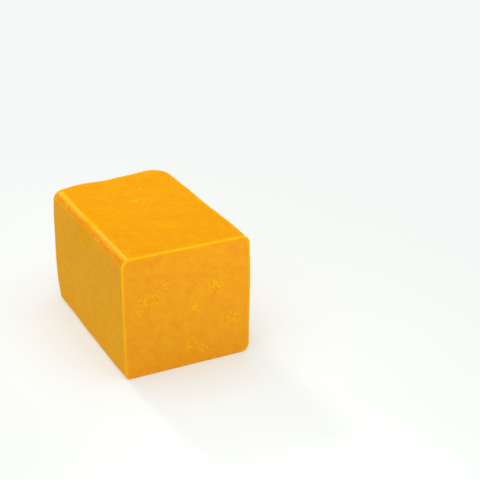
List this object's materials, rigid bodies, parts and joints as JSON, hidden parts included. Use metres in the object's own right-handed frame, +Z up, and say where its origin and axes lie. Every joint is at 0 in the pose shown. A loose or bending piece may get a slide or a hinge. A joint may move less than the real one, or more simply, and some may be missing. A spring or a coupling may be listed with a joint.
{
  "type": "cheddar cheese block",
  "caption": "Half loaf of orange cheddar: a solid rectangular block with one flat wire-cut end and rounded moulded edges, for slicing or display.",
  "frame": {"origin": "on the resting plane, under the middle of the block's box", "axes": "+Z up, +X across the cut face, +Y along the block from the cut face to the moulded end"},
  "size_m": [0.09, 0.141, 0.0862],
  "materials": {
    "cheddar": "smooth, slightly oily, with small curd openings on the cut face"
  },
  "bodies": {
    "root": {"cheddar_block": "cheddar"}
  },
  "joints": []
}
